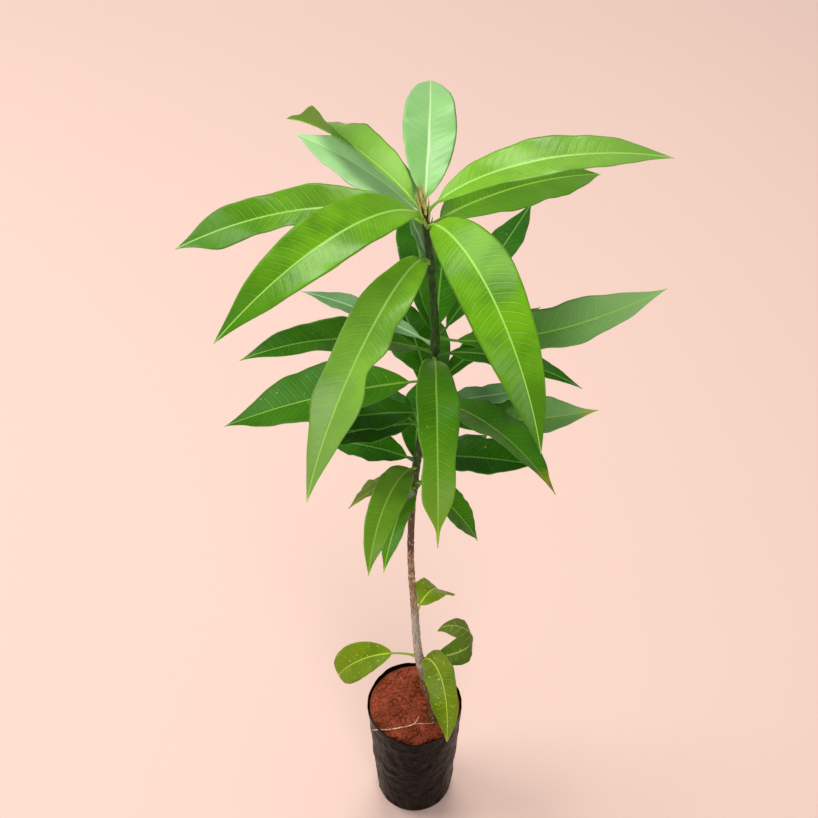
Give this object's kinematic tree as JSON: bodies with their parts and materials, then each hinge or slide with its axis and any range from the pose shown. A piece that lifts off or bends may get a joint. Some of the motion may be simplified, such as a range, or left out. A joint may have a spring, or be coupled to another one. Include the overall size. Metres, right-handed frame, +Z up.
{
  "type": "potted mango sapling",
  "caption": "Young mango tree with tiers of long drooping lance-shaped leaves on a slender stem, standing in a small black film grow bag of red soil.",
  "frame": {"origin": "centre of the bag's flat underside, on the surface it stands on", "axes": "+Z up along the stem, +Y away from the plant's front, +X to the right seen from the front"},
  "size_m": [0.3103, 0.2828, 0.7585],
  "materials": {
    "bag_film": "thin black polyethylene film, creased, softly shiny",
    "soil": "damp red-brown crumbly earth",
    "bark": "thin brown bark, green towards the tip",
    "bud_scales": "dry yellow-brown bud scales",
    "young_leaf": "bright yellow-green leathery leaf, glossy above",
    "grown_leaf": "dark green leathery leaf, glossy above",
    "old_leaf": "olive green leaf with yellowing margins and pale specks"
  },
  "bodies": {
    "root": {"bag": "bag_film", "soil": "soil", "stem": "bark", "bud": "bud_scales", "leaf_top_1": "young_leaf", "leaf_top_2": "young_leaf", "leaf_top_3": "young_leaf", "leaf_top_4": "young_leaf", "leaf_top_5": "young_leaf", "leaf_top_6": "young_leaf", "leaf_top_7": "young_leaf", "leaf_top_8": "young_leaf", "leaf_upper_1": "young_leaf", "leaf_upper_2": "young_leaf", "leaf_middle_1": "grown_leaf", "leaf_middle_2": "grown_leaf", "leaf_middle_3": "grown_leaf", "leaf_middle_4": "grown_leaf", "leaf_middle_5": "grown_leaf", "leaf_middle_6": "grown_leaf", "leaf_middle_7": "grown_leaf", "leaf_middle_8": "grown_leaf", "leaf_third_1": "grown_leaf", "leaf_third_2": "grown_leaf", "leaf_third_3": "grown_leaf", "leaf_third_4": "grown_leaf", "leaf_third_5": "grown_leaf", "leaf_third_6": "grown_leaf", "leaf_third_7": "grown_leaf", "leaf_third_8": "grown_leaf", "leaf_third_9": "grown_leaf", "leaf_third_10": "grown_leaf", "leaf_fourth_1": "grown_leaf", "leaf_fourth_2": "grown_leaf", "leaf_fourth_3": "grown_leaf", "leaf_fourth_4": "grown_leaf", "leaf_fourth_5": "grown_leaf", "leaf_fourth_6": "grown_leaf", "leaf_fourth_7": "grown_leaf", "leaf_fourth_8": "grown_leaf", "leaf_low_1": "old_leaf", "leaf_basal_1": "old_leaf", "leaf_basal_2": "old_leaf", "leaf_basal_3": "old_leaf"}
  },
  "joints": []
}
